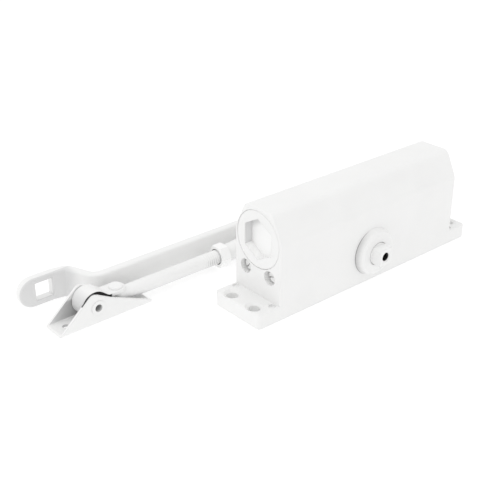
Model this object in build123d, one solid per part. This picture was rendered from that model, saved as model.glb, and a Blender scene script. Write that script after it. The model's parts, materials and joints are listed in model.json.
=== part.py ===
"""Overhead door closer with its folded arm and shoe, in millimetres.

The housing stands on its mounting face at Z = 0, centred on X and Y, with its
length along X. The spindle crosses it along Y. The arm assembly is not fitted
to the spindle: it lies folded on the same surface, behind the housing.
"""
import os
from math import acos, cos, pi, radians, sin, sqrt, tan

from build123d import *

# Named clearances
press_gap = 0.02
running_gap = 0.03
thread_gap = 0.05
face_gap = 0.1
loose_gap = 0.3

# Housing
foot_span = 180.0
body_length = 149.0
body_width = 38.0
body_height = 62.6
foot_thickness = 9.0
foot_corner_radius = 2.2
foot_edge_radius = 0.8
shoulder_height = 46.5
top_width = 22.0
shoulder_radius = 10.0
crown_radius = 5.0
screw_spacing_x = 170.0
screw_spacing_y = 19.0
screw_hole_radius = 3.4
screw_seat_radius = 5.2
screw_seat_depth = 1.5
dimple_radius = 2.0
dimple_depth = 1.0
dimple_from_end = 2.6
dimple_from_side = 3.5

# Cylinder bore and end caps
bore_height = 43.5
bore_radius = 16.0
cap_radius = 17.4
cap_length = 12.0
cap_edge_chamfer = 0.5
hex_across_flats = 22.0
hex_depth = 5.5
cap_groove_depth = 1.9
cap_groove_width = 2.2
cap_groove_from_inside = 2.5

# Spindle, its pinion and its bearings
spindle_height = 19.2
side_bore_radius = 12.4
module = 1.5
pinion_teeth = 14
pressure_angle = radians(20)
pinion_addendum = 0.9
rack_addendum = 0.75
root_clearance = 0.2
backlash = 0.16
pinion_width = 14.0
journal_radius = 7.0
collar_radius = 8.5
square_size = 10.7
square_length = 6.0
spindle_end = 30.0
arm_screw_radius = 2.5
arm_screw_depth = 14.0
arm_screw_countersink = 0.75

# Ring nuts that carry the bearings
ring_inner_end = 11.3
ring_base_radius = 14.9
ring_rim_radius = 13.5
ring_rim_height = 4.0
ring_height = 4.85
ring_face_radius = 11.8
ring_hole_radius = 7.3
bearing_radius = 10.0
bearing_width = 5.0
bearing_cup_wall = 1.0
needle_count = 18
seal_groove_radius = 9.0
seal_groove_width = 2.2
seal_wall = 1.0

# Piston and main spring
piston_front = -52.5
piston_back = 20.5
slot_margin = 0.7
pocket_radius = 10.6
pocket_floor = -38.0
piston_groove_start = -48.0
piston_groove_width = 2.5
piston_groove_depth = 1.2
spindle_travel = radians(170)
check_chamber_radius = 2.6
check_chamber_end = -43.0
check_port_radius = 1.4
check_ball_radius = 2.2
check_retainer_length = 2.0
wire_radius = 1.8
spring_turns = 13

# Regulating valves in the left end face
valve_y = 10.0
valve_height = 23.3
valve_mouth_radius = 4.25
valve_mouth_depth = 5.0
valve_sink = 3.0
valve_radius = 3.5
valve_length = 18.0
valve_tip_length = 5.0
valve_tip_radius = 0.8
valve_slot_width = 1.0
valve_slot_depth = 1.2
closing_slot_angle = -24.4
latching_slot_angle = -48.5
valve_seat_radius = 1.5
valve_groove_depth = 1.0
valve_groove_width = 1.2
valve_groove_place = 7.0
oil_way_radius = 1.2
oil_way_places = (19.5, 27.0)

# Main arm: a flat bar on edge, set over at its left end
arm_thickness = 5.5
arm_height = 18.4
arm_edge_radius = 1.5
arm_plate_front = 82.5
arm_bar_front = 62.2
arm_lean_start = -157.5
arm_lean_depth = 1.8
arm_bend_start = -148.6
arm_bend_end = -141.2
arm_bend_radii = (3.3, 4.4, 8.0)
arm_hole_x = -164.2
arm_hole_size = 11.0
arm_hole_chamfer = 0.3
arm_end_length = 15.8
elbow_x = 46.0

# Forearm: threaded socket at the elbow, lock nut and rod
forearm_y = 51.8
forearm_height = 7.9
socket_radius = 6.2
socket_nose_radius = 5.3
socket_nose_length = 13.0
socket_end = -55.9
socket_bore_end = -14.0
socket_taper = 7.0
socket_mouth_chamfer = 0.4
eye_thickness = 5.6
elbow_pin_radius = 5.0
elbow_bush_wall = 1.6
elbow_collar_radius = 7.2
elbow_rivet_radius = 4.5
elbow_head_radius = 7.0
elbow_head_height = 2.2
elbow_head_round = 1.0
elbow_washer_radius = 7.5
elbow_washer_thickness = 0.9
nut_across_flats = 13.0
nut_length = 6.5
nut_chamfer = 0.9
nut_sink_radius = 5.0
rod_radius = 4.4
rod_inner_end = -24.0

# Swivel link: a strap folded round the shoe pin, riveted to the rod
link_width = 11.2
link_thickness = 1.9
link_rivet_x = -135.8
link_top = 13.9
link_slope = 38.0
link_bend_radius = 4.0
link_rivet_radius = 2.5
link_rivet_head_radius = 4.1
link_rivet_head_height = 1.5
link_rivet_head_round = 1.0
link_countersink_radius = 3.9

# Shoe: a folded bracket with a hollow pin
shoe_left = -177.3
shoe_length = 60.0
shoe_width = 16.0
shoe_offset = -0.4
shoe_sheet = 1.5
shoe_bend_radius = 2.2
shoe_crown_x = -155.9
shoe_crown_height = 20.0
shoe_crown_radius = 4.0
shoe_waist_x = -143.7
shoe_waist_height = 13.4
shoe_toe_edge = 0.9
shoe_heel_edge = 2.2
shoe_pin_x = -152.8
shoe_pin_height = 10.4
shoe_pin_radius = 3.2
shoe_pin_bore = 2.25
shoe_flange_radius = 4.3
shoe_flange_height = 0.5
link_outer_radius = 8.5
shoe_screw_radius = 1.9
shoe_screw_inset = 7.8

low = (Align.CENTER, Align.CENTER, Align.MIN)


def along_x(radius, start, end, y, z):
    return Pos(start, y, z) * Rot(0, 90, 0) * Cylinder(radius, end - start, align=low)


def along_y(radius, start, end, x, z):
    return Pos(x, start, z) * Rot(-90, 0, 0) * Cylinder(radius, end - start, align=low)


def along_z(radius, start, end, x, y):
    return Pos(x, y, start) * Cylinder(radius, end - start, align=low)


def box(x_range, y_range, z_range):
    size = [end - start for start, end in (x_range, y_range, z_range)]
    corner = (x_range[0], y_range[0], z_range[0])
    return Pos(*corner) * Box(*size, align=(Align.MIN, Align.MIN, Align.MIN))


def tube(outer, inner):
    return outer - inner


def to_rear(piece):
    """The same piece on the other side of the housing."""
    return Rot(0, 0, 180) * piece


body_half = body_length / 2
side_half = body_width / 2
cap_bore_radius = cap_radius + thread_gap
cap_inner = body_half - cap_length
pitch_radius = module * pinion_teeth / 2
pitch_height = spindle_height + pitch_radius
pinion_half = pinion_width / 2
collar_end = ring_inner_end - face_gap
ring_face = side_half + ring_height
ring_thread_radius = side_bore_radius - thread_gap


def housing():
    shoulder = (side_half, shoulder_height)
    crown = (top_width / 2, body_height)
    outline = Polyline(
        (-side_half, 0), (side_half, 0), shoulder, crown,
        (-crown[0], crown[1]), (-shoulder[0], shoulder[1]), close=True,
    )
    section = make_face(outline)
    section = fillet(section.vertices().sort_by(Axis.Y)[-4:-2], shoulder_radius)
    section = fillet(section.vertices().group_by(Axis.Y)[-1], crown_radius)
    body = extrude(Plane.YZ.offset(-body_half) * section, body_length)
    ends = body.edges().group_by(Axis.X)
    body = fillet(ends[0] + ends[-1], foot_edge_radius)

    feet = extrude(RectangleRounded(foot_span, body_width, foot_corner_radius), foot_thickness)
    feet = fillet(feet.edges().group_by(Axis.Z)[-1], foot_edge_radius)
    body += feet

    body -= along_x(bore_radius, -body_half, body_half, 0, bore_height)
    for side in (-1, 1):
        near, far = sorted((side * body_half, side * cap_inner))
        body -= along_x(cap_bore_radius, near, far, 0, bore_height)
    body -= along_y(side_bore_radius, -side_half, side_half, 0, spindle_height)

    seat = Cone(screw_hole_radius, screw_seat_radius, screw_seat_depth, align=low)
    for spot in GridLocations(screw_spacing_x, screw_spacing_y, 2, 2):
        x, y, _ = spot.position
        body -= along_z(screw_hole_radius, 0, foot_thickness, x, y)
        body -= Pos(x, y, foot_thickness - screw_seat_depth) * seat
    dimple_x = body_length + 2 * dimple_from_end
    dimple_y = body_width - 2 * dimple_from_side
    for spot in GridLocations(dimple_x, dimple_y, 2, 2):
        x, y, _ = spot.position
        body -= along_z(dimple_radius, foot_thickness - dimple_depth, foot_thickness, x, y)
    for side in (-1, 1):
        body -= valve_bore(side * valve_y)
    return body


def valve_bore(y):
    """Mouth, threaded bore, needle seat and the two oil ways up to the cylinder."""
    mouth_end = -body_half + valve_mouth_depth
    seat_start = -body_half + valve_sink + valve_length + face_gap
    bore = along_x(valve_mouth_radius, -body_half, mouth_end, y, valve_height)
    bore += along_x(valve_radius + running_gap, -body_half, seat_start, y, valve_height)
    seat_end = -body_half + max(oil_way_places) + oil_way_radius
    bore += along_x(valve_seat_radius, seat_start - face_gap, seat_end, y, valve_height)
    cylinder_wall = bore_height - sqrt(bore_radius ** 2 - valve_y ** 2)
    for place in oil_way_places:
        bore += along_z(oil_way_radius, valve_height, cylinder_wall + 2 * oil_way_radius,
                        -body_half + place, y)
    return bore


def end_cap():
    """The left cap, with a hexagon recess for its key."""
    cap = along_x(cap_radius, -body_half, -cap_inner - face_gap, 0, bore_height)
    cap = chamfer(cap.edges().group_by(Axis.X)[0], cap_edge_chamfer)
    hexagon = Rot(0, 0, 30) * RegularPolygon(hex_across_flats / 2, 6, major_radius=False)
    recess = extrude(Plane.YZ.offset(-body_half) * hexagon, hex_depth)
    cap -= Pos(0, 0, bore_height) * recess
    groove_end = -cap_inner - cap_groove_from_inside
    groove_start = groove_end - cap_groove_width
    floor_radius = cap_radius - cap_groove_depth
    cap -= tube(
        along_x(cap_bore_radius, groove_start, groove_end, 0, bore_height),
        along_x(floor_radius, groove_start, groove_end, 0, bore_height),
    )
    return cap


def seal_ring(outer, inner):
    """A round-section ring that fills the space between two radii, about Z."""
    return Torus((outer + inner) / 2, (outer - inner) / 2 - press_gap)


def end_cap_seal():
    middle = -cap_inner - cap_groove_from_inside - cap_groove_width / 2
    ring = seal_ring(cap_bore_radius, cap_radius - cap_groove_depth)
    return Pos(middle, 0, bore_height) * Rot(0, 90, 0) * ring


def pinion_tooth_angle(radius):
    """Half the angle that one tooth fills at a radius."""
    base_radius = pitch_radius * cos(pressure_angle)
    local = acos(min(1, base_radius / radius))
    at_pitch = pi / 2 / pinion_teeth - backlash / 4 / pitch_radius
    involute_pitch = tan(pressure_angle) - pressure_angle
    return at_pitch + involute_pitch - (tan(local) - local)


def pinion_section():
    tip = pitch_radius + pinion_addendum * module
    root = pitch_radius - (rack_addendum + root_clearance) * module
    base = pitch_radius * cos(pressure_angle)
    flank = [root] + [base + (tip - base) * step / 4 for step in range(5)]
    points = []
    for tooth in range(pinion_teeth):
        middle = pi / 2 + 2 * pi * tooth / pinion_teeth
        for radius in flank:
            angle = middle - pinion_tooth_angle(radius)
            points.append((radius * cos(angle), radius * sin(angle)))
        for radius in reversed(flank):
            angle = middle + pinion_tooth_angle(radius)
            points.append((radius * cos(angle), radius * sin(angle)))
    return make_face(Polyline(*points, close=True))


def square_end(start, end):
    """The driven end: a square with its corners turned to the journal's radius."""
    size = square_size / 2
    square = box((-size, size), (start, end), (spindle_height - size, spindle_height + size))
    return square & along_y(journal_radius, start, end, 0, spindle_height)


def spindle():
    """Pinion shaft with a square at both ends, about Y."""
    section = Plane(origin=(0, pinion_half, 0), x_dir=(1, 0, 0), z_dir=(0, -1, 0)) * pinion_section()
    shaft = Pos(0, 0, spindle_height) * extrude(section, pinion_width)
    shaft += along_y(collar_radius, -collar_end, collar_end, 0, spindle_height)
    square_start = spindle_end - square_length
    shaft += along_y(journal_radius, -square_start, square_start, 0, spindle_height)
    shaft += square_end(-spindle_end, -square_start)
    shaft += square_end(square_start, spindle_end)
    mouth_radius = arm_screw_radius + arm_screw_countersink
    hole = along_y(arm_screw_radius, -spindle_end, -spindle_end + arm_screw_depth, 0, spindle_height)
    sink = Cone(arm_screw_radius, mouth_radius, arm_screw_countersink,
                align=(Align.CENTER, Align.CENTER, Align.MAX))
    hole += Pos(0, -spindle_end, spindle_height) * Rot(90, 0, 0) * sink
    return shaft - hole - to_rear(hole)


def ring_nut():
    """The front nut: thread, cone-sided rim, bearing seat and seal groove, about Z."""
    profile = Polyline(
        (ring_hole_radius, ring_inner_end), (ring_thread_radius, ring_inner_end),
        (ring_thread_radius, side_half), (ring_base_radius, side_half),
        (ring_rim_radius, side_half + ring_rim_height), (ring_face_radius, ring_face),
        (ring_hole_radius, ring_face), close=True,
    )
    nut = revolve(Plane.XZ * make_face(profile), Axis.Z)
    nut -= Pos(0, 0, ring_inner_end) * Cylinder(bearing_radius, bearing_width + face_gap, align=low)
    nut -= Pos(0, 0, seal_start()) * Cylinder(seal_groove_radius, seal_groove_width, align=low)
    return Pos(0, 0, spindle_height) * Rot(90, 0, 0) * nut


def seal_start():
    return ring_inner_end + bearing_width + face_gap + seal_wall


def spindle_bearing():
    """Cup and needles of the front bearing."""
    outer = bearing_radius - press_gap
    inner = bearing_radius - bearing_cup_wall
    cup = Cylinder(outer, bearing_width, align=low) - Cylinder(inner, bearing_width, align=low)
    pieces = [Pos(0, 0, ring_inner_end) * cup]
    needle_radius = (inner - journal_radius) / 2 - running_gap
    for spot in PolarLocations((inner + journal_radius) / 2, needle_count):
        needle = Cylinder(needle_radius, bearing_width - 2 * face_gap, align=low)
        pieces.append(Pos(0, 0, ring_inner_end + face_gap) * spot * needle)
    return Pos(0, 0, spindle_height) * Rot(90, 0, 0) * Compound(pieces)


def spindle_seal():
    ring = seal_ring(seal_groove_radius, journal_radius)
    middle = seal_start() + seal_groove_width / 2
    return Pos(0, -middle, spindle_height) * Rot(90, 0, 0) * ring


def rack_gap(middle):
    """The space between two rack teeth, opening downwards."""
    pitch = pi * module
    top = pitch_height + (pinion_addendum + root_clearance) * module
    bottom = pitch_height - rack_addendum * module - module
    half_at_pitch = pitch / 4 + backlash / 4
    slope = tan(pressure_angle)
    half_top = half_at_pitch - (top - pitch_height) * slope
    half_bottom = half_at_pitch + (pitch_height - bottom) * slope
    outline = Polyline(
        (middle - half_top, top), (middle + half_top, top),
        (middle + half_bottom, bottom), (middle - half_bottom, bottom), close=True,
    )
    face = Plane.XZ.offset(-bore_radius) * make_face(outline)
    return extrude(face, 2 * bore_radius)


def piston():
    """Two heads joined by a rack, hollow from the back to take the spring."""
    radius = bore_radius - running_gap
    body = along_x(radius, piston_front, piston_back, 0, bore_height)
    tip = pitch_radius + pinion_addendum * module
    lowest = bore_height - radius - spindle_height
    reach = sqrt(tip ** 2 - lowest ** 2) + slot_margin
    slot_start = -pitch_radius * spindle_travel - reach
    tooth_tips = pitch_height - rack_addendum * module
    across = (-bore_radius, bore_radius)
    body -= box((slot_start, reach), across, (0, tooth_tips))
    pitch = pi * module
    first = int(slot_start // pitch)
    last = int(reach // pitch) + 1
    room = rack_gap_room(slot_start, reach)
    for number in range(first, last + 1):
        body -= rack_gap(number * pitch) & room
    body -= along_x(pocket_radius, pocket_floor, piston_back, 0, bore_height)
    groove_end = piston_groove_start + piston_groove_width
    body -= tube(
        along_x(radius, piston_groove_start, groove_end, 0, bore_height),
        along_x(radius - piston_groove_depth, piston_groove_start, groove_end, 0, bore_height),
    )
    body -= along_x(check_chamber_radius, piston_front, check_chamber_end, 0, bore_height)
    body -= along_x(check_port_radius, check_chamber_end, pocket_floor, 0, bore_height)
    return body


def rack_gap_room(start, end):
    across = (-bore_radius, bore_radius)
    return box((start, end), across, (0, bore_height))


def piston_ring():
    start = piston_groove_start + face_gap
    end = piston_groove_start + piston_groove_width - face_gap
    floor_radius = bore_radius - running_gap - piston_groove_depth
    return tube(
        along_x(bore_radius - running_gap / 2, start, end, 0, bore_height),
        along_x(floor_radius + press_gap, start, end, 0, bore_height),
    )


def check_valve_ball():
    seat = sqrt(check_ball_radius ** 2 - check_port_radius ** 2)
    return Pos(check_chamber_end - seat - running_gap, 0, bore_height) * Sphere(check_ball_radius)


def check_valve_retainer():
    end = piston_front + check_retainer_length
    return tube(
        along_x(check_chamber_radius - press_gap, piston_front, end, 0, bore_height),
        along_x(check_port_radius, piston_front, end, 0, bore_height),
    )


def main_spring():
    """Compression spring from the piston's pocket to the right cap."""
    outer = pocket_radius - loose_gap
    coil_radius = outer - wire_radius
    start = pocket_floor + wire_radius + loose_gap
    end = cap_inner - wire_radius - loose_gap
    turn = (end - start) / spring_turns
    helix = Helix(turn, end - start, coil_radius)
    wire = sweep(Plane(helix @ 0, z_dir=helix % 0) * Circle(wire_radius), helix)
    return Pos(start, 0, bore_height) * Rot(0, 90, 0) * wire


def valve_screw(y, slot_angle):
    """A regulating screw with one slot, a seal groove and a needle tip."""
    start = -body_half + valve_sink
    tip_start = start + valve_length - valve_tip_length
    screw = along_x(valve_radius, start, tip_start, y, valve_height)
    tip = Cone(valve_radius, valve_tip_radius, valve_tip_length, align=low)
    screw += Pos(tip_start, y, valve_height) * Rot(0, 90, 0) * tip
    half_width = valve_slot_width / 2
    slot = box((start, start + valve_slot_depth), (-valve_mouth_radius, valve_mouth_radius),
               (-half_width, half_width))
    screw -= Pos(0, y, valve_height) * Rot(slot_angle, 0, 0) * slot
    groove = start + valve_groove_place
    groove_end = groove + valve_groove_width
    screw -= tube(
        along_x(valve_radius, groove, groove_end, y, valve_height),
        along_x(valve_radius - valve_groove_depth, groove, groove_end, y, valve_height),
    )
    return screw


def valve_seal(y):
    middle = -body_half + valve_sink + valve_groove_place + valve_groove_width / 2
    ring = seal_ring(valve_radius + running_gap, valve_radius - valve_groove_depth)
    return Pos(middle, y, valve_height) * Rot(0, 90, 0) * ring


arm_centre_height = arm_height / 2
arm_bar_centre = arm_bar_front + arm_thickness / 2
arm_plate_centre = arm_plate_front + arm_thickness / 2


def main_arm():
    """Flat bar on edge, round-ended, with the square hole at one end."""
    left = arm_hole_x - arm_end_length
    right = elbow_x + arm_centre_height
    route = FilletPolyline(
        (left, arm_plate_centre), (arm_lean_start, arm_plate_centre),
        (arm_bend_start, arm_plate_centre - arm_lean_depth), (arm_bend_end, arm_bar_centre),
        (right, arm_bar_centre), radius=arm_bend_radii,
    )
    start = Plane(origin=(left, arm_plate_centre, 0), x_dir=(0, 1, 0), z_dir=(1, 0, 0))
    bar = Pos(0, 0, arm_centre_height) * sweep(start * Rectangle(arm_thickness, arm_height), route)
    outline = Pos((left + right) / 2, arm_centre_height) * SlotOverall(right - left, arm_height)
    depth = arm_plate_front + 2 * arm_thickness
    bar = bar & extrude(Plane.XZ * outline, -depth)
    bar = fillet(bar.edges().filter_by(is_on_rim), arm_edge_radius)
    half = arm_hole_size / 2
    bar -= box(
        (arm_hole_x - half, arm_hole_x + half),
        (arm_plate_front - arm_thickness, depth),
        (arm_centre_height - half, arm_centre_height + half),
    )
    bar = chamfer(bar.edges().filter_by(is_on_hole_rim), arm_hole_chamfer)
    bar -= along_y(elbow_rivet_radius + press_gap, 0, arm_plate_front, elbow_x, arm_centre_height)
    return bar


def is_on_rim(edge):
    """True for the edges where the bar's two flat sides meet its rim."""
    bounds = edge.bounding_box()
    return bounds.size.X > arm_edge_radius / 4


def is_on_hole_rim(edge):
    """True for the edges where the square hole meets the bar's two flat sides."""
    middle = edge.center()
    reach = max(abs(middle.X - arm_hole_x), abs(middle.Z - arm_centre_height))
    is_flat = edge.bounding_box().size.Y < arm_hole_chamfer
    return is_flat and reach < (arm_hole_size + arm_hole_chamfer) / 2


# A thread is made as a plain cylinder at its middle radius
thread_bore_radius = rod_radius + running_gap

elbow_eye_front = forearm_y - eye_thickness / 2
elbow_eye_back = forearm_y + eye_thickness / 2


def elbow_pin():
    """Stepped rivet: head, journal in the forearm's eye, collar and end in the arm."""
    washer_front = elbow_eye_front - face_gap - elbow_washer_thickness
    head_back = washer_front - press_gap
    head_front = head_back - elbow_head_height
    head = along_y(elbow_head_radius, head_front, head_back, elbow_x, arm_centre_height)
    head = fillet(head.edges().group_by(Axis.Y)[0], elbow_head_round)
    pin = head + along_y(elbow_pin_radius, head_back, elbow_eye_back + face_gap,
                         elbow_x, arm_centre_height)
    pin += along_y(elbow_collar_radius, elbow_eye_back + face_gap, arm_bar_front - press_gap,
                   elbow_x, arm_centre_height)
    arm_back = arm_bar_front + arm_thickness
    pin += along_y(elbow_rivet_radius, arm_bar_front - press_gap, arm_back + press_gap,
                   elbow_x, arm_centre_height)
    closing = along_y(elbow_head_radius, arm_back + press_gap, arm_back + elbow_head_height,
                      elbow_x, arm_centre_height)
    return pin + fillet(closing.edges().group_by(Axis.Y)[-1], elbow_head_round)


def elbow_washer():
    back = elbow_eye_front - face_gap
    front = back - elbow_washer_thickness
    return tube(
        along_y(elbow_washer_radius, front, back, elbow_x, arm_centre_height),
        along_y(elbow_pin_radius + press_gap, front, back, elbow_x, arm_centre_height),
    )


def elbow_bush():
    inner = elbow_pin_radius + running_gap
    outer = elbow_pin_radius + elbow_bush_wall
    return tube(
        along_y(outer, elbow_eye_front, elbow_eye_back, elbow_x, arm_centre_height),
        along_y(inner, elbow_eye_front, elbow_eye_back, elbow_x, arm_centre_height),
    )


def forearm_socket():
    """Tube that takes the rod's thread, tapered into the flat elbow eye."""
    eye_radius = arm_centre_height
    taper_end = elbow_x - elbow_washer_radius - face_gap
    taper_start = taper_end - socket_taper
    nose = Cone(socket_nose_radius, socket_radius, socket_nose_length, align=low)
    nose = chamfer(nose.edges().group_by(Axis.Z)[0], socket_mouth_chamfer)
    socket = Pos(socket_end, forearm_y, forearm_height) * Rot(0, 90, 0) * nose
    nose_end = socket_end + socket_nose_length
    socket += along_x(socket_radius, nose_end, taper_start, forearm_y, forearm_height)
    taper = Cone(socket_radius, eye_thickness / 2, socket_taper, align=low)
    socket += Pos(taper_start, forearm_y, forearm_height) * Rot(0, 90, 0) * taper
    socket += along_y(eye_radius, elbow_eye_front, elbow_eye_back, elbow_x, arm_centre_height)
    shank_half = socket_radius
    socket += box(
        (taper_start, elbow_x), (elbow_eye_front, elbow_eye_back),
        (forearm_height - shank_half, forearm_height + shank_half),
    )
    bush_outer = elbow_pin_radius + elbow_bush_wall + press_gap
    socket -= along_y(bush_outer, elbow_eye_front, elbow_eye_back, elbow_x, arm_centre_height)
    return socket - along_x(thread_bore_radius, socket_end, socket_bore_end,
                            forearm_y, forearm_height)


def lock_nut():
    end = socket_end - face_gap
    start = end - nut_length
    hexagon = Rot(0, 0, 30) * RegularPolygon(nut_across_flats / 2, 6, major_radius=False)
    nut = extrude(Plane.YZ.offset(start) * hexagon, nut_length)
    nut = Rot(90, 0, 0) * nut
    corner = nut_across_flats / 2 / cos(pi / 6)
    turned = Pos(start, 0, 0) * Rot(0, 90, 0) * Cylinder(corner, nut_length, align=low)
    nut = nut & chamfer(turned.edges().filter_by(GeomType.CIRCLE), nut_chamfer / 2, nut_chamfer)
    nut = Pos(0, forearm_y, forearm_height) * nut
    nut -= along_x(thread_bore_radius, start, end, forearm_y, forearm_height)
    sink = Cone(nut_sink_radius, thread_bore_radius, nut_sink_radius - thread_bore_radius, align=low)
    return nut - Pos(start, forearm_y, forearm_height) * Rot(0, 90, 0) * sink


link_rc = link_outer_radius - link_thickness / 2
link_inner_radius = link_outer_radius - link_thickness
link_top_centre = link_top - link_thickness / 2
link_low_top = shoe_pin_height - link_inner_radius
rod_eye_low = link_low_top + face_gap
rod_eye_high = link_top - link_thickness - face_gap


def forearm_rod():
    """Round rod with a flattened and pierced eye at its left end."""
    neck = link_rivet_x + link_width / 2
    rod = along_x(rod_radius, neck - rod_radius, rod_inner_end, forearm_y, forearm_height)
    eye_room = box(
        (link_rivet_x - link_width, neck + face_gap), (0, 2 * forearm_y), (rod_eye_low, rod_eye_high),
    )
    shoulder = box(
        (neck + face_gap, rod_inner_end), (0, 2 * forearm_y), (0, 2 * link_top),
    )
    rod = (rod & eye_room) + (rod & shoulder)
    rod += along_z(link_width / 2 - face_gap, rod_eye_low, rod_eye_high, link_rivet_x, forearm_y)
    return rod - along_z(link_rivet_radius + running_gap, rod_eye_low, rod_eye_high,
                         link_rivet_x, forearm_y)


def swivel_link():
    """Strap folded round the shoe pin, its two leaves closing on the rod's eye."""
    slope = radians(link_slope)
    tail = link_rivet_x + link_width / 2
    touch_x = shoe_pin_x + link_rc * sin(slope)
    touch_z = shoe_pin_height + link_rc * cos(slope)
    bend_x = touch_x + (touch_z - link_top_centre) / tan(slope)
    trim = link_bend_radius * tan(slope / 2)
    bend_out = (bend_x - trim * cos(slope), link_top_centre + trim * sin(slope))
    low_centre = shoe_pin_height - link_rc
    lines = [
        Line((tail, link_top_centre), (bend_x + trim, link_top_centre)),
        TangentArc((bend_x + trim, link_top_centre), bend_out, tangent=(-1, 0)),
        Line(bend_out, (touch_x, touch_z)),
        CenterArc((shoe_pin_x, shoe_pin_height), link_rc, 90 - link_slope, 180 + link_slope),
        Line((shoe_pin_x, low_centre), (tail, low_centre)),
    ]
    flat = Plane(origin=(0, forearm_y, 0), x_dir=(1, 0, 0), z_dir=(0, -1, 0))
    route = Wire([flat.from_local_coords(line.edge()) for line in lines])
    start = Plane(origin=(tail, forearm_y, link_top_centre), x_dir=(0, 1, 0), z_dir=(-1, 0, 0))
    strap = sweep(start * Rectangle(link_width, link_thickness), route)
    plan = Pos(link_rivet_x, forearm_y) * Circle(link_width / 2)
    far = shoe_pin_x - 2 * link_outer_radius
    plan += Pos((far + link_rivet_x) / 2, forearm_y) * Rectangle(link_rivet_x - far, link_width)
    strap = strap & extrude(plan, 2 * shoe_crown_height)
    strap -= along_z(link_rivet_radius + press_gap, 0, link_top, link_rivet_x, forearm_y)
    return strap - rivet_countersink(press_gap)


def rivet_countersink(gap):
    low_face = low_leaf_bottom()
    depth = link_countersink_radius - link_rivet_radius
    cone = Cone(link_countersink_radius + gap, link_rivet_radius + gap, depth, align=low)
    return Pos(link_rivet_x, forearm_y, low_face) * cone


def low_leaf_bottom():
    return shoe_pin_height - link_outer_radius


def swivel_rivet():
    head_start = link_top + press_gap
    head_end = head_start + link_rivet_head_height
    head = along_z(link_rivet_head_radius, head_start, head_end, link_rivet_x, forearm_y)
    head = fillet(head.edges().group_by(Axis.Z)[-1], link_rivet_head_round)
    shank = along_z(link_rivet_radius, low_leaf_bottom(), head_start, link_rivet_x, forearm_y)
    return head + shank + rivet_countersink(0)


shoe_y = forearm_y + shoe_offset
shoe_front = shoe_y - shoe_width / 2
shoe_back = shoe_y + shoe_width / 2
shoe_right = shoe_left + shoe_length


def shoe_bracket():
    """Folded sheet: a flat base with two ears that hold the pin."""
    ear = Polyline(
        (shoe_left, 0), (shoe_left, shoe_toe_edge), (shoe_crown_x, shoe_crown_height),
        (shoe_waist_x, shoe_waist_height), (shoe_right, shoe_heel_edge), (shoe_right, 0), close=True,
    )
    face = make_face(ear)
    face = fillet(face.vertices().sort_by(Axis.Y)[-1], shoe_crown_radius)
    block = extrude(Plane.XZ.offset(-shoe_back) * face, shoe_width)
    folds = block.edges().filter_by(Axis.X).group_by(Axis.Z)[0]
    block = fillet(folds, shoe_bend_radius)
    room = box(
        (shoe_left - shoe_sheet, shoe_right + shoe_sheet),
        (shoe_front + shoe_sheet, shoe_back - shoe_sheet), (shoe_sheet, 2 * shoe_crown_height),
    )
    inner_folds = room.edges().filter_by(Axis.X).group_by(Axis.Z)[0]
    block -= fillet(inner_folds, shoe_bend_radius - shoe_sheet)
    block -= along_y(shoe_pin_radius + press_gap, shoe_front, shoe_back, shoe_pin_x, shoe_pin_height)
    for x in (shoe_left + shoe_screw_inset, shoe_right - shoe_screw_inset):
        block -= along_z(shoe_screw_radius, 0, shoe_sheet, x, shoe_y)
    return block


def shoe_pin():
    front = shoe_front - press_gap
    back = shoe_back + press_gap
    pin = along_y(shoe_pin_radius, front - shoe_flange_height, back + shoe_flange_height,
                  shoe_pin_x, shoe_pin_height)
    pin += along_y(shoe_flange_radius, front - shoe_flange_height, front, shoe_pin_x, shoe_pin_height)
    pin += along_y(shoe_flange_radius, back, back + shoe_flange_height, shoe_pin_x, shoe_pin_height)
    return pin - along_y(shoe_pin_bore, front - shoe_flange_height, back + shoe_flange_height,
                         shoe_pin_x, shoe_pin_height)


def shoe_bush():
    half = link_width / 2
    return tube(
        along_y(link_inner_radius - press_gap, forearm_y - half, forearm_y + half,
                shoe_pin_x, shoe_pin_height),
        along_y(shoe_pin_radius + running_gap, forearm_y - half, forearm_y + half,
                shoe_pin_x, shoe_pin_height),
    )


def all_parts():
    left_cap = end_cap()
    left_seal = end_cap_seal()
    front_ring = ring_nut()
    front_bearing = spindle_bearing()
    front_seal = spindle_seal()
    return {
        "housing": housing(),
        "end_cap_left": left_cap,
        "end_cap_right": to_rear(left_cap),
        "end_cap_seal_left": left_seal,
        "end_cap_seal_right": to_rear(left_seal),
        "spindle": spindle(),
        "ring_nut_front": front_ring,
        "ring_nut_rear": to_rear(front_ring),
        "spindle_bearing_front": front_bearing,
        "spindle_bearing_rear": to_rear(front_bearing),
        "spindle_seal_front": front_seal,
        "spindle_seal_rear": to_rear(front_seal),
        "piston": piston(),
        "piston_ring": piston_ring(),
        "check_valve_ball": check_valve_ball(),
        "check_valve_retainer": check_valve_retainer(),
        "main_spring": main_spring(),
        "closing_valve": valve_screw(-valve_y, closing_slot_angle),
        "closing_valve_seal": valve_seal(-valve_y),
        "latching_valve": valve_screw(valve_y, latching_slot_angle),
        "latching_valve_seal": valve_seal(valve_y),
        "main_arm": main_arm(),
        "elbow_pin": elbow_pin(),
        "elbow_washer": elbow_washer(),
        "elbow_bush": elbow_bush(),
        "forearm_socket": forearm_socket(),
        "lock_nut": lock_nut(),
        "forearm_rod": forearm_rod(),
        "swivel_link": swivel_link(),
        "swivel_rivet": swivel_rivet(),
        "shoe_bracket": shoe_bracket(),
        "shoe_pin": shoe_pin(),
        "shoe_bush": shoe_bush(),
    }


os.makedirs("parts", exist_ok=True)
for name, piece in all_parts().items():
    export_step(piece, os.path.join("parts", name + ".step"))
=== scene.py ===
"""Overhead door closer: finishes, fine detail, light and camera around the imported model.

Everything is in metres, in the model's own frame: the housing stands on Z = 0,
its length along X, and the visible spindle end points to -Y.
"""
import json

from math import cos, pi, radians, sin

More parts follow.
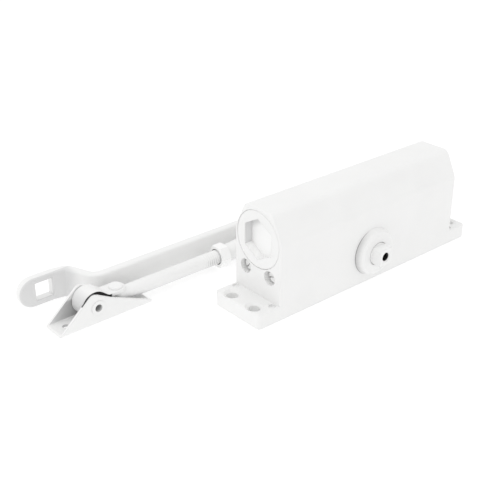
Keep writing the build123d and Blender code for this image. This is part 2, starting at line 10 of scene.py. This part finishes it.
import bmesh
import bpy
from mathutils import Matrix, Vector


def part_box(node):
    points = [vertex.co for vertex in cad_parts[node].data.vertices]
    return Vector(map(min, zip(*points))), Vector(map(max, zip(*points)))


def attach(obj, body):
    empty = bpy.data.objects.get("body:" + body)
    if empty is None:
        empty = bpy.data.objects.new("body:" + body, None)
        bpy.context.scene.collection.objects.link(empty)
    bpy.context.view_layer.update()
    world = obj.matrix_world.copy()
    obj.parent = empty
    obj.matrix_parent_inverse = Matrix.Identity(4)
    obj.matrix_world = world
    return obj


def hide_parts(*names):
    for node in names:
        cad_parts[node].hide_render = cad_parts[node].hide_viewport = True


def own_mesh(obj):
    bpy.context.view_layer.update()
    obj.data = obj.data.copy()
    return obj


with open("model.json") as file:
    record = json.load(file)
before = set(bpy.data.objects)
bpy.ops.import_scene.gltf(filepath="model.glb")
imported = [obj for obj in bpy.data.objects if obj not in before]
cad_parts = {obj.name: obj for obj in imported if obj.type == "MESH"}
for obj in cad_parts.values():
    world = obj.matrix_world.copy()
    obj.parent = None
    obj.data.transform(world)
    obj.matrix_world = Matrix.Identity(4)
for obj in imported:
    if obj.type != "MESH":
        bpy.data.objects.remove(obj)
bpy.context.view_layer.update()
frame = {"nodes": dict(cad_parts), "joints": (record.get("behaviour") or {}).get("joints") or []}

MM = 0.001

# Read from the model: the axes that places are measured from
joints = {joint["name"]: joint for joint in frame["joints"]}
spindle_height = joints["spindle_turn"]["pos_m"][2]
rod_axis = Vector(joints["lock_nut_turn"]["pos_m"])
pin_axis = Vector(joints["shoe_tilt"]["pos_m"])

# Linear greys of the white paint: fresh, thick, thin over an edge, and painted light for the lock nut
# and the caps' key recess
WHITE = (0.88, 0.88, 0.875, 1.0)
WHITE_DEEP = (0.80, 0.80, 0.795, 1.0)
WHITE_WORN = (0.74, 0.74, 0.735, 1.0)
WHITE_PAINTED_LIGHT = (0.94, 0.94, 0.935, 1.0)
WHITE_RECESS_PAINTED_LIGHT = (0.97, 0.97, 0.965, 1.0)

# Orange peel of the paint: how many ripples to a metre, and their depth
PEEL_HOUSING = 620.0
PEEL_ARM = 540.0
PEEL_STRAP = 700.0
PEEL_SMALL = 780.0
PEEL_DEPTH = 0.018 * MM
PEEL_DEPTH_ARM = 0.022 * MM
PEEL_DEPTH_SMALL = 0.015 * MM
PEEL_DEPTH_THREAD = 0.006 * MM

# Patches of thicker paint to a metre
PATCHES_LARGE = 38.0
PATCHES_CAP = 45.0
PATCHES_SMALL = 60.0


def grey(level):
    """A neutral colour of one linear level."""
    return (level, level, level, 1.0)


class Tone:
    """One socket of a finish, so that shader maths is written as an expression."""

    def __init__(self, finish, socket):
        self.finish = finish
        self.socket = socket

    def maths(self, operation, *values):
        return self.finish.node("ShaderNodeMath", {"operation": operation}, *values)

    def __add__(self, other):
        return self.maths("ADD", self, other)

    def __radd__(self, other):
        return self.maths("ADD", other, self)

    def __sub__(self, other):
        return self.maths("SUBTRACT", self, other)

    def __rsub__(self, other):
        return self.maths("SUBTRACT", other, self)

    def __mul__(self, other):
        return self.maths("MULTIPLY", self, other)

    def __truediv__(self, other):
        return self.maths("DIVIDE", self, other)

    def __pow__(self, other):
        return self.maths("POWER", self, other)

    def __abs__(self):
        return self.maths("ABSOLUTE", self)

    def rise(self, low, high):
        """0 below low, 1 above high, smooth between."""
        settings = {"interpolation_type": "SMOOTHSTEP", "clamp": True}
        return self.finish.node("ShaderNodeMapRange", settings, self, low, high, 0.0, 1.0)

    def fall(self, low, high):
        """1 below low, 0 above high, smooth between."""
        return 1 - self.rise(low, high)


def off_axis(first, second):
    """How far the shaded point lies from an axis, by its two offsets from it."""
    return (first * first + second * second) ** 0.5


class Finish:
    """A node material for one of the object's finishes."""

    def __init__(self, name, **constants):
        self.material = bpy.data.materials.new(name)
        self.material.use_nodes = True
        self.tree = self.material.node_tree
        self.shader = self.tree.nodes["Principled BSDF"]
        for socket, value in constants.items():
            self.shader.inputs[socket.replace("_", " ")].default_value = value

    def node(self, kind, settings, *values, out=0, **named):
        """A node of one type: its settings first, then the values or links of its sockets."""
        made = self.tree.nodes.new(kind)
        for name, value in settings.items():
            setattr(made, name, value)
        for socket, value in zip(made.inputs, values):
            self.feed(socket, value)
        for name, value in named.items():
            self.feed(made.inputs[name.replace("_", " ")], value)
        return Tone(self, made.outputs[out])

    def feed(self, socket, value):
        if isinstance(value, Tone):
            self.tree.links.new(value.socket, socket)
        elif value is not None:
            socket.default_value = value

    def place(self):
        return self.node("ShaderNodeTexCoord", {}, out="Object")

    def axes(self):
        """The X, Y and Z of the shaded point, in metres."""
        parts = self.node("ShaderNodeSeparateXYZ", {}, self.place())
        return [Tone(self, output) for output in parts.socket.node.outputs]

    def noise(self, scale, detail=2.0, roughness=0.5):
        """Noise with features about 1 / scale metres across."""
        return self.node(
            "ShaderNodeTexNoise", {}, Vector=self.place(), Scale=scale, Detail=detail,
            Roughness=roughness, out="Fac",
        )

    def patches(self, scale):
        """Broad soft patches, 1 in their middle."""
        return self.noise(scale, detail=4.0).rise(0.35, 0.75)

    def soft_normal(self, radius):
        return self.node("ShaderNodeBevel", {"samples": 6}, Radius=radius, out="Normal")

    def edges(self, soft):
        """How far the softened normal leans from the true one: the part's sharp edges."""
        true = self.node("ShaderNodeNewGeometry", {}, out="True Normal")
        along = self.node(
            "ShaderNodeVectorMath", {"operation": "DOT_PRODUCT"}, soft, true, out="Value",
        )
        return (1 - along).rise(0.01, 0.2)

    def blend(self, amount, first, second):
        """A colour between two, by amount."""
        mixed = self.node("ShaderNodeMix", {"data_type": "RGBA"})
        node = mixed.socket.node
        for name, value in (("Factor_Float", amount), ("A_Color", first), ("B_Color", second)):
            self.feed(next(s for s in node.inputs if s.identifier == name), value)
        return Tone(self, next(s for s in node.outputs if s.identifier == "Result_Color"))

    def surface(self, color, roughness, height, depth, soft, metallic=None):
        """Joins the varying values to the shader; depth is the relief in metres."""
        bump = self.node(
            "ShaderNodeBump", {}, Strength=1.0, Distance=depth, Height=height, Normal=soft,
        )
        varying = {"Base Color": color, "Roughness": roughness, "Normal": bump, "Metallic": metallic}
        for name, value in varying.items():
            self.feed(self.shader.inputs[name], value)
        return self


class Paint(Finish):
    """A small piece's white paint: softened edges, orange peel, and thicker in patches."""

    def __init__(self, name, edge_radius, peel=PEEL_SMALL, patches=PATCHES_SMALL, patch_share=0.25,
                 edge_share=0.3, light=WHITE, deep=WHITE_DEEP, **constants):
        super().__init__(name, **constants)
        self.soft = self.soft_normal(edge_radius)
        self.peel = self.noise(peel)
        uneven = self.edges(self.soft) * edge_share
        if patch_share:
            uneven = uneven + self.patches(patches) * patch_share
        self.white = self.blend(uneven, light, deep)

    def coated(self, tone, roughness, peel_share=0.12, depth=PEEL_DEPTH):
        """Gives the paint its tone; peel_share is how much the orange peel roughens it."""
        return self.surface(tone, roughness + self.peel * peel_share, self.peel, depth, self.soft)


def powder_coat(name, peel_scale, edge_radius):
    """White powder coat: fine orange peel, thin at the edges, faintly uneven in tone."""
    coat = Finish(name)
    soft = coat.soft_normal(edge_radius)
    edge = coat.edges(soft)
    peel = coat.noise(peel_scale)
    grain = coat.noise(peel_scale * 5, detail=3.0)
    tone = coat.blend(coat.patches(PATCHES_LARGE) * 0.25, WHITE, WHITE_DEEP)
    tone = coat.blend(edge * 0.35, tone, WHITE_WORN)
    rough = 0.30 + peel * 0.12 + grain * 0.06 + edge * 0.05
    return coat.surface(tone, rough, peel * 0.8 + grain * 0.2, PEEL_DEPTH, soft)


# The front of the arm's square-holed plate, and where its bend begins and the painted shade has gone
PLATE_FRONT = 83.0 * MM
PLATE_SHADE_END = -150.0 * MM
PLATE_END = -146.0 * MM


# Painted shade on the front face of the arm's plate
def plate_front_painted_shade(coat):
    x, y, z = coat.axes()
    return x.fall(PLATE_SHADE_END, PLATE_END) * y.fall(PLATE_FRONT, PLATE_FRONT + 0.5 * MM)


# Painted shade on the lower half of the rod and its socket
def rod_underside_painted_shade(coat):
    x, y, z = coat.axes()
    return (z - rod_axis.z).fall(-3.0 * MM, 0.5 * MM)


def arm_coat(name, shaded_area, shade):
    """Powder coat of the arm, with painted shade in one area."""
    coat = Paint(name, 0.6 * MM, peel=PEEL_ARM, patches=PATCHES_LARGE, edge_share=0.35)
    tone = coat.blend(shaded_area(coat), coat.white, shade)
    return coat.coated(tone, 0.32, peel_share=0.14, depth=PEEL_DEPTH_ARM)


def turned_steel(name, color, deep, rough=0.28, scale=900.0):
    """Machined steel with fine tool marks and darker oil in patches."""
    steel = Finish(name, Metallic=1.0)
    soft = steel.soft_normal(0.15 * MM)
    marks = steel.noise(scale, detail=4.0, roughness=0.6)
    stain = steel.noise(120.0, detail=5.0).rise(0.4, 0.8)
    tone = steel.blend(stain * 0.6 + marks * 0.2, color, deep)
    tone = steel.blend(steel.edges(soft) * 0.5, tone, grey(0.8))
    return steel.surface(tone, rough + marks * 0.2 + stain * 0.1, marks, 0.01 * MM, soft)


def moulded(name, color, deep, rough, scale):
    """Rubber or nylon: fine moulded grain with dustier patches."""
    plastic = Finish(name)
    soft = plastic.soft_normal(0.2 * MM)
    grain = plastic.noise(scale, detail=4.0, roughness=0.6)
    dust = plastic.noise(90.0, detail=4.0).rise(0.45, 0.8)
    tone = plastic.blend(dust * 0.5 + plastic.edges(soft) * 0.2, color, deep)
    return plastic.surface(tone, rough + grain * 0.12, grain, 0.01 * MM, soft)


# The spindle's paint starts just inside the ring nuts; its screw hole is left bare
PAINT_START = 1.6 * MM
PAINT_FULL = 1.2 * MM
SCREW_HOLE_RADIUS = 2.5 * MM
SCREW_HOLE_RIM = 2.75 * MM


def painted_spindle():
    """Bare steel inside the housing; the driven ends carry the housing's white."""
    shaft = Finish("spindle_painted_end")
    soft = shaft.soft_normal(0.35 * MM)
    x, y, z = shaft.axes()
    ring_face = abs(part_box("ring_nut_front")[0].y)
    outside = abs(y).rise(ring_face - PAINT_START, ring_face - PAINT_FULL)
    past_hole = off_axis(x, z - spindle_height).rise(SCREW_HOLE_RADIUS, SCREW_HOLE_RIM)
    paint = outside * past_hole
    marks = shaft.noise(900.0, detail=4.0)
    peel = shaft.noise(PEEL_HOUSING)
    steel = shaft.blend(marks, (0.30, 0.30, 0.31, 1.0), grey(0.18))
    white = shaft.blend(shaft.edges(soft) * 0.35, WHITE, WHITE_WORN)
    tone = shaft.blend(paint, steel, white)
    rough = 0.34 + marks * 0.12 * (1 - paint) + peel * 0.08 * paint
    return shaft.surface(tone, rough, peel, PEEL_DEPTH_SMALL, soft, metallic=1 - paint)


# The shoe's sheet, its left screw hole, the crown of its front ear that gets near-black painted
# shade, the ends of the painted shade on its inner faces and the height above which it is left off
# beside the strap, as painted light
SHOE_SHEET = 1.5 * MM
SHOE_HOLE = Vector((-169.5, 51.4, 0.0)) * MM
SHOE_HOLE_RADIUS = 1.9 * MM
CROWN_START = -162.3 * MM
CROWN_END = -153.4 * MM
CROWN_FOOT = 11.0 * MM
INNER_LEFT = -178.0 * MM
INNER_RIGHT = -160.0 * MM
STRAP_LOW = 11.5 * MM
STRAP_HIGH = 13.5 * MM


def folded_sheet():
    """The shoe: white, with painted shade on its ears' inner faces, in its screw hole and on its
    front crown.
    """
    sheet = Paint("shoe_sheet_coat", 0.3 * MM, peel=PEEL_HOUSING)
    low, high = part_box("shoe_bracket")
    middle = (low.y + high.y) / 2
    inner_half = (high.y - low.y) / 2 - SHOE_SHEET
    x, y, z = sheet.axes()
    off_middle = abs(y - middle)
    above_base = z.rise(SHOE_SHEET + 0.1 * MM, SHOE_SHEET + 0.9 * MM)
    inside = off_middle.fall(inner_half + 0.05 * MM, inner_half + 0.15 * MM) * above_base
    # Painted light: the rear inner face beside the strap, above its fold, is kept white
    beside_strap_painted_light = (y - middle).rise(0.0, 1.0 * MM) * z.rise(STRAP_LOW, STRAP_HIGH)
    # Near-black painted shade on the front ear's crown, by the gap under the strap
    crown = x.rise(CROWN_START - 0.6 * MM, CROWN_START) * x.fall(CROWN_END, CROWN_END + 1.2 * MM)
    front_crown = crown * z.rise(CROWN_FOOT, CROWN_FOOT + 1.0 * MM) * (middle - y).rise(0.0, 1.0 * MM)
    crown_painted_shade = front_crown * off_middle.fall(inner_half + 0.9 * MM, inner_half + 1.2 * MM)
    # Painted shade on the wall of the screw hole
    out_of_hole = off_axis(x - SHOE_HOLE.x, y - SHOE_HOLE.y)
    hole_wall_painted_shade = out_of_hole.fall(SHOE_HOLE_RADIUS + 0.02 * MM, SHOE_HOLE_RADIUS + 0.15 * MM)
    # Painted shade on the ears' inner faces, darker from left to right and uneven in patches
    inner_painted_shade = sheet.blend(x.rise(INNER_LEFT, INNER_RIGHT), grey(0.80), grey(0.50))
    inner_painted_shade = sheet.blend(sheet.patches(PATCHES_SMALL) * 0.2, inner_painted_shade, grey(0.45))
    tone = sheet.blend(inside * (1 - beside_strap_painted_light), sheet.white, inner_painted_shade)
    tone = sheet.blend(crown_painted_shade, tone, grey(0.06))
    tone = sheet.blend(hole_wall_painted_shade, tone, grey(0.58))
    return sheet.coated(tone, 0.32 + inside * 0.1)


# The strap's fold: where the painted shade on its cut front edge ends, and the length that has
# painted shade
FOLD_END = -141.8 * MM
FOLD_LEFT = -161.0 * MM
FOLD_TOP = -154.5 * MM


def strap_coat():
    """The folded strap: white faces with painted shade round the fold, and near-black painted shade
    on its cut front edge.
    """
    strap = Paint("strap_coat", 0.3 * MM, peel=PEEL_STRAP, Specular_IOR_Level=0.3)
    low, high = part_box("swivel_link")
    middle = (low.y + high.y) / 2
    half = (high.y - low.y) / 2
    x, y, z = strap.axes()
    # Near-black painted shade on the strap's cut front edge, along the fold
    on_side = (middle - y).rise(half - 0.12 * MM, half - 0.04 * MM)
    edge_painted_shade = on_side * x.fall(FOLD_END - 0.3 * MM, FOLD_END + 0.3 * MM)
    # Painted shade round the fold
    white = strap.blend(x.fall(FOLD_LEFT, FOLD_TOP), strap.white, grey(0.70))
    painted_shade = strap.blend(strap.noise(1500.0, detail=3.0), grey(0.012), grey(0.03))
    return strap.coated(strap.blend(edge_painted_shade, white, painted_shade), 0.32 + edge_painted_shade * 0.35)


# The ring nuts: radius of the flat face, the housing's face that they stand on,
# and how high the painted shade of their sloping rim reaches
RING_FACE = 12.0 * MM
RING_BASE = 19.0 * MM
RING_SHADE = 4.4 * MM


def ring_coat():
    """The ring nuts: white faces; painted shade on the sloping rims towards the valves, darkest in a
    line at their base.
    """
    ring = Paint("ring_nut_coat", 0.25 * MM, patch_share=0.2)
    x, y, z = ring.axes()
    out_of_axis = off_axis(x, z - spindle_height)
    towards_valves = ((0 - x) / out_of_axis).rise(0.15, 0.95)
    # Painted shade on the sloping rims, greyer towards the base, with a darker line where they meet
    # the housing
    painted_shade_rim = out_of_axis.rise(RING_FACE - 0.3 * MM, RING_FACE + 1.2 * MM) * towards_valves
    from_base = abs(y) - RING_BASE
    tone = ring.blend(painted_shade_rim * from_base.fall(0.0, RING_SHADE), ring.white, grey(0.60))
    tone = ring.blend(painted_shade_rim * from_base.fall(0.3 * MM, 0.6 * MM), tone, grey(0.34))
    return ring.coated(tone, 0.3)


PIN_BORE = 2.25 * MM


def hollow_pin_coat():
    """The shoe's hollow rivet: white ends, painted shade in the bore."""
    pin = Paint("hollow_pin_coat", 0.2 * MM, patch_share=0, edge_share=0.35, deep=WHITE_WORN,
                Specular_IOR_Level=0.3)
    low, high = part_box("shoe_pin")
    middle = (low.y + high.y) / 2
    half = (high.y - low.y) / 2
    x, y, z = pin.axes()
    deep = abs(y - middle).fall(half - 1.9 * MM, half - 0.5 * MM)
    out_of_axis = off_axis(x - pin_axis.x, z - pin_axis.z)
    # Painted shade in the rivet's bore
    bore_painted_shade = deep * out_of_axis.fall(PIN_BORE + 0.05 * MM, PIN_BORE + 0.2 * MM)
    painted_shade = pin.blend(pin.peel, grey(0.50), grey(0.58))
    tone = pin.blend(bore_painted_shade, pin.white, painted_shade)
    return pin.coated(tone, 0.34 + bore_painted_shade * 0.2, peel_share=0.1, depth=PEEL_DEPTH_SMALL)


# Radius of the painted shade round the mouth of the lock nut's thread
NUT_MOUTH = 4.95 * MM


def nut_coat():
    """The lock nut: a lighter white as painted light, with painted shade in the mouth of its thread.
    """
    # Painted light: the nut takes the lighter white
    nut = Paint("lock_nut_coat", 0.25 * MM, patch_share=0, light=WHITE_PAINTED_LIGHT, deep=WHITE)
    x, y, z = nut.axes()
    # Painted shade in the mouth of the nut's thread
    mouth_painted_shade = off_axis(y - rod_axis.y, z - rod_axis.z).fall(NUT_MOUTH, NUT_MOUTH + 0.15 * MM)
    painted_shade = nut.blend(nut.peel, grey(0.03), grey(0.07))
    return nut.coated(nut.blend(mouth_painted_shade, nut.white, painted_shade), 0.32, depth=PEEL_DEPTH_SMALL)


# The caps' key recess: half its width across flats, and the radius that holds its corners
RECESS_WALL = 11.0 * MM
RECESS_REACH = 12.8 * MM


def cap_coat():
    """End caps: white; painted light in the key recess, painted shade on its rear wall and a painted
    shadow in its upper rear corner.
    """
    cap = Paint("end_cap_coat", 0.3 * MM, patches=PATCHES_CAP)
    low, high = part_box("end_cap_left")
    face = abs(low.x)
    x, y, z = cap.axes()
    up = z - (low.z + high.z) / 2
    below_face = abs(x).fall(face - 0.7 * MM, face - 0.2 * MM)
    recess = below_face * off_axis(y, up).fall(RECESS_REACH, RECESS_REACH + 0.3 * MM)
    # Painted shade on the recess's rear wall
    rear_wall_painted_shade = recess * y.rise(RECESS_WALL - 0.35 * MM, RECESS_WALL - 0.1 * MM)
    # Painted shadow in the recess's upper rear corner
    rear_corner_painted_shadow = recess * (up + y * 0.58).rise(7.0 * MM, 12.5 * MM)
    # Painted light in the key recess
    tone = cap.blend(recess, cap.white, WHITE_RECESS_PAINTED_LIGHT)
    tone = cap.blend(rear_corner_painted_shadow * 0.7, tone, grey(0.66))
    tone = cap.blend(rear_wall_painted_shade, tone, grey(0.72))
    return cap.coated(tone, 0.3)


def dress(finish, *nodes):
    """Gives CAD nodes their finish."""
    for name in nodes:
        mesh = frame["nodes"][name].data
        mesh.materials.clear()
        mesh.materials.append(finish.material)


def finishes():
    dress(powder_coat("housing_powder_coat", PEEL_HOUSING, 0.45 * MM), "housing")
    dress(powder_coat("fitting_powder_coat", PEEL_SMALL, 0.3 * MM),
          "closing_valve", "latching_valve", "swivel_rivet", "elbow_pin")
    dress(arm_coat("main_arm_coat", plate_front_painted_shade, grey(0.72)), "main_arm")
    dress(arm_coat("rod_coat", rod_underside_painted_shade, grey(0.79)), "forearm_rod", "forearm_socket")
    dress(ring_coat(), "ring_nut_front", "ring_nut_rear")
    dress(nut_coat(), "lock_nut")
    dress(cap_coat(), "end_cap_left", "end_cap_right")
    dress(strap_coat(), "swivel_link")
    dress(hollow_pin_coat(), "shoe_pin")
    dress(painted_spindle(), "spindle")
    dress(folded_sheet(), "shoe_bracket")
    dress(turned_steel("bright_steel", (0.62, 0.62, 0.63, 1.0), (0.42, 0.42, 0.43, 1.0)),
          "elbow_washer", "check_valve_retainer", "check_valve_ball",
          "spindle_bearing_front", "spindle_bearing_rear")
    dress(turned_steel("spring_steel", (0.30, 0.30, 0.31, 1.0), (0.14, 0.14, 0.15, 1.0), rough=0.4),
          "main_spring")
    dress(turned_steel("piston_iron", (0.34, 0.34, 0.35, 1.0), grey(0.20), rough=0.35, scale=500.0),
          "piston")
    dress(moulded("seal_rubber_black", grey(0.02), grey(0.06), rough=0.55, scale=1400.0),
          "end_cap_seal_left", "end_cap_seal_right", "spindle_seal_front", "spindle_seal_rear",
          "closing_valve_seal", "latching_valve_seal")
    dress(moulded("bush_nylon", (0.09, 0.09, 0.095, 1.0), grey(0.16), rough=0.42, scale=1100.0),
          "elbow_bush", "shoe_bush", "piston_ring")


def placed(name, data):
    """A new object in the scene."""
    made = bpy.data.objects.new(name, data)
    bpy.context.scene.collection.objects.link(made)
    return made


# Rolled thread of the forearm's rod: radii, widths along the rod, and turns over which it fades
THREAD_CORE = 4.38 * MM
THREAD_CREST = 4.52 * MM
THREAD_PITCH = 1.5 * MM
THREAD_START = -75.5 * MM
THREAD_END = -24.6 * MM
THREAD_STEPS = 40
THREAD_BASE = 1.34 * MM
THREAD_FLAT = 0.6 * MM
THREAD_RUN_OUT = 1.5
THREAD_LEAST = 0.05


def thread_coat():
    """The rod's thread: white crests, painted shade on the flanks below the rod's middle."""
    thread = Finish("thread_coat")
    soft = thread.soft_normal(0.06 * MM)
    peel = thread.noise(PEEL_SMALL)
    x, y, z = thread.axes()
    up = z - rod_axis.z
    flank = off_axis(y - rod_axis.y, up).fall(THREAD_CREST - 0.04 * MM, THREAD_CREST - 0.01 * MM)
    past_start = x.rise(THREAD_START, THREAD_START + 7.0 * MM)
    # Painted shade on the thread's lower flanks
    painted_shade_flanks = flank * up.fall(-0.5 * MM, 3.5 * MM) * past_start
    tone = thread.blend(painted_shade_flanks, WHITE, grey(0.46))
    return thread.surface(tone, 0.34 + peel * 0.1, peel, PEEL_DEPTH_THREAD, soft)


def thread_ring(mesh, turn, turns):
    """The four corners of the thread's ridge after so many turns."""
    angle = 2 * pi * turn
    middle = THREAD_START + THREAD_PITCH * turn
    to_end = min(turn, turns - turn) / THREAD_RUN_OUT
    crest = THREAD_CORE + (THREAD_CREST - THREAD_CORE) * min(1.0, THREAD_LEAST + to_end)
    profile = (
        (-THREAD_BASE / 2, THREAD_CORE), (-THREAD_FLAT / 2, crest),
        (THREAD_FLAT / 2, crest), (THREAD_BASE / 2, THREAD_CORE),
    )
    corners = []
    for along, radius in profile:
        across = rod_axis.y + radius * sin(angle)
        up = rod_axis.z + radius * cos(angle)
        corners.append(mesh.verts.new((middle + along, across, up)))
    return corners


def rod_thread():
    """The ridge of the rod's thread: one wound strip that fades out at both ends."""
    turns = (THREAD_END - THREAD_START) / THREAD_PITCH
    mesh = bmesh.new()
    rings = [
        thread_ring(mesh, step / THREAD_STEPS, turns)
        for step in range(int(turns * THREAD_STEPS) + 1)
    ]
    for first, second in zip(rings, rings[1:]):
        for side in range(len(first)):
            other = (side + 1) % len(first)
            mesh.faces.new((first[side], first[other], second[other], second[side]))
    mesh.faces.new(rings[0])
    mesh.faces.new(reversed(rings[-1]))
    bmesh.ops.recalc_face_normals(mesh, faces=mesh.faces)
    ridge = bpy.data.meshes.new("rod_thread")
    mesh.to_mesh(ridge)
    mesh.free()
    ridge.materials.append(thread_coat().material)
    piece = placed("rod_thread", ridge)
    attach(piece, "rod")


def main_spring():
    """The spring inside the housing: the piston presses it against the right cap."""
    coil = placed("pressed_spring", frame["nodes"]["main_spring"].data.copy())
    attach(coil, "closer")
    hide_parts("main_spring")
    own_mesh(coil)


# The camera's place, its turn from the front face, its tilt down, and its lens in mm
CAMERA_PLACE = (-0.3793, -0.3433, 0.2750)
CAMERA_AZIMUTH = radians(40.38)
CAMERA_DROP = radians(26.78)
CAMERA_LENS = 69.86
CAMERA_SENSOR = 36.0
CAMERA_NEAR = 0.01


def aim(holder, place, direction):
    """Puts a camera or lamp at a place and points it along a direction."""
    holder.location = place
    holder.rotation_mode = "QUATERNION"
    holder.rotation_quaternion = direction.to_track_quat("-Z", "Y")


def camera():
    eye = bpy.data.cameras.new("camera")
    eye.sensor_width = CAMERA_SENSOR
    eye.lens = CAMERA_LENS
    eye.clip_start = CAMERA_NEAR
    holder = placed("camera", eye)
    forward = Vector((
        sin(CAMERA_AZIMUTH) * cos(CAMERA_DROP),
        cos(CAMERA_AZIMUTH) * cos(CAMERA_DROP),
        -sin(CAMERA_DROP),
    ))
    aim(holder, CAMERA_PLACE, forward)
    bpy.context.scene.camera = holder


OBJECT_MIDDLE = Vector((-0.04, 0.03, 0.02))
SURROUND_STRENGTH = 0.89


def soft_box(name, place, size, power):
    """A square area lamp that points at the object's middle."""
    lamp = bpy.data.lights.new(name, "AREA")
    lamp.shape = "SQUARE"
    lamp.size = size
    lamp.energy = power
    aim(placed(name, lamp), place, OBJECT_MIDDLE - Vector(place))


def studio():
    """White surround, with broad soft boxes above and on the left."""
    world = bpy.data.worlds.new("studio")
    bpy.context.scene.world = world
    world.use_nodes = True
    surround = world.node_tree.nodes["Background"]
    surround.inputs["Color"].default_value = grey(1.0)
    surround.inputs["Strength"].default_value = SURROUND_STRENGTH
    soft_box("light_above", (-0.15, 0.05, 1.3), size=1.2, power=2.8)
    soft_box("light_left", (-1.2, 0.2, 0.6), size=0.8, power=1.0)
    bpy.context.scene.view_settings.view_transform = "Standard"


# The floor glows, so that the object's shadow on it stays faint
FLOOR_HALF = 3.0
FLOOR_GLOW = 0.66


def floor():
    half = FLOOR_HALF
    corners = [(-half, -half, 0), (half, -half, 0), (half, half, 0), (-half, half, 0)]
    mesh = bpy.data.meshes.new("floor")
    mesh.from_pydata(corners, [], [(0, 1, 2, 3)])
    paper = Finish("floor_paper", Specular_IOR_Level=0.1, Emission_Color=grey(1.0),
                   Emission_Strength=FLOOR_GLOW)
    grain = paper.noise(300.0, detail=3.0)
    paper.feed(paper.shader.inputs["Base Color"], paper.blend(grain * 0.2, grey(0.42), grey(0.40)))
    paper.feed(paper.shader.inputs["Roughness"], 0.85 + grain * 0.1)
    mesh.materials.append(paper.material)
    ground = placed("floor", mesh)


camera()
studio()
floor()
finishes()
rod_thread()
main_spring()
